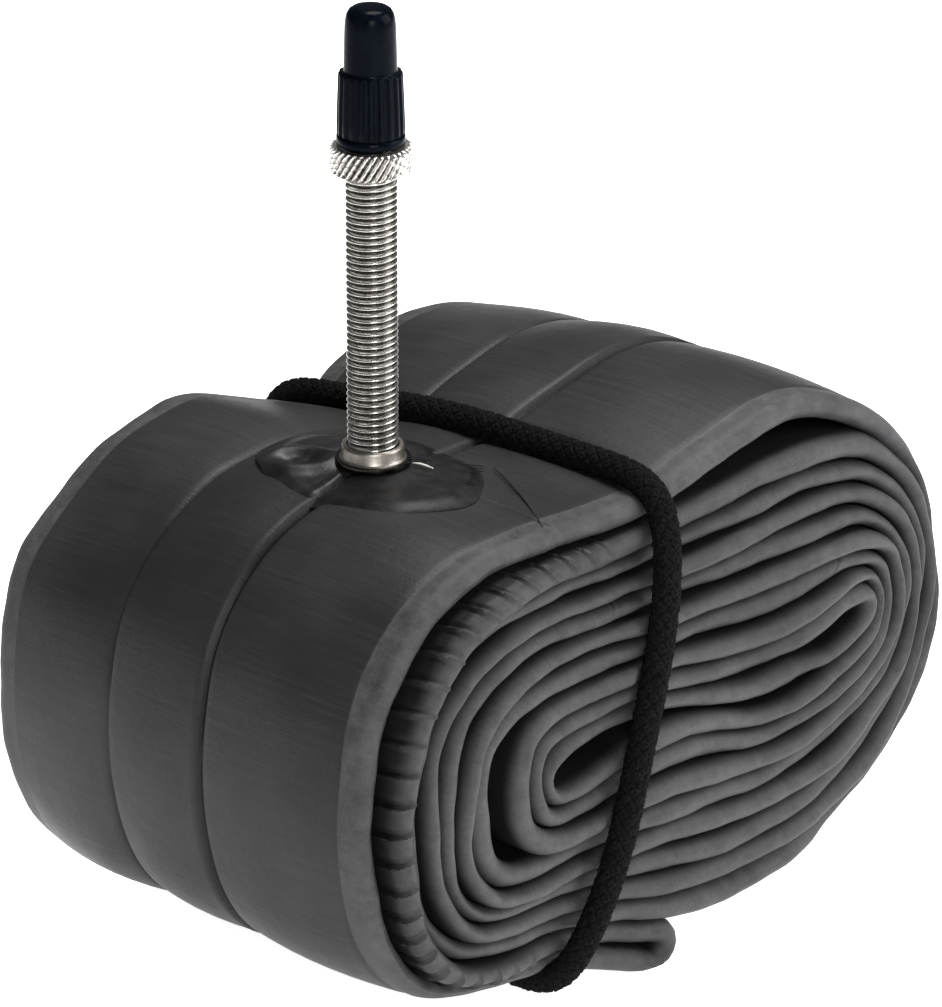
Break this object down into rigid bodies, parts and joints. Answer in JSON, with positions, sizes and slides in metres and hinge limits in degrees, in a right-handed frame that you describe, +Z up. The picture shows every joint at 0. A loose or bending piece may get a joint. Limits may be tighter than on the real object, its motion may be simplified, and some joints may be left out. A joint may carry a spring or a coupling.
{
  "type": "inner tube",
  "caption": "Bicycle inner tube, flattened, doubled and rolled up under an elastic loop, with a slender threaded valve, rim nut and dust cap standing up from it.",
  "frame": {"origin": "on the surface it stands on, under the middle of the whole object's box", "axes": "+Z up along the valve, X along the roll's two lobes, Y across the flattened tube with the spiral face at -Y in front"},
  "size_m": [0.1022, 0.0748, 0.1206],
  "materials": {
    "rubber": "dusty matt butyl rubber",
    "moulded_rubber": "smooth moulded rubber",
    "nickel": "bright nickel plate",
    "brass": "turned brass",
    "cap_plastic": "black moulded plastic",
    "seal_rubber": "red seal rubber",
    "elastic": "knitted black polyester over rubber threads"
  },
  "bodies": {
    "rolled_tube": {"tube": "rubber", "valve_base_patch": "moulded_rubber", "valve_stem": "nickel", "base_collar": "nickel", "elastic_band": "elastic", "band_clip": "nickel"},
    "rim_nut": {"rim_nut": "nickel"},
    "valve_core": {"core_body": "brass", "core_gasket": "seal_rubber"},
    "lock_nut": {"lock_nut": "brass"},
    "valve_pin": {"valve_pin": "brass", "pin_seal": "seal_rubber", "seal_cup": "brass"},
    "dust_cap": {"dust_cap": "cap_plastic"}
  },
  "joints": [
    {"name": "rim_nut_run", "type": "slide", "parent": "rolled_tube", "child": "rim_nut", "axis": [0, 0, 1], "range_m": [-0.033, 0]},
    {"name": "core_lift", "type": "slide", "parent": "rolled_tube", "child": "valve_core", "axis": [0, 0, 1], "range_m": [0, 0.03]},
    {"name": "lock_nut_turn", "type": "hinge", "parent": "valve_core", "child": "lock_nut", "pos_m": [-0.02141, -0.00247, 0.113], "axis": [0, 0, 1], "range_deg": [0, 1085]},
    {"name": "pin_press", "type": "slide", "parent": "valve_core", "child": "valve_pin", "axis": [0, 0, 1], "range_m": [-0.0015, 0]},
    {"name": "dust_cap_lift", "type": "slide", "parent": "valve_core", "child": "dust_cap", "axis": [0, 0, 1], "range_m": [0, 0.02]}
  ],
  "couplings": [
    {"joint": "lock_nut_turn", "follows": "pin_press", "rad_per_m": -12566}
  ]
}
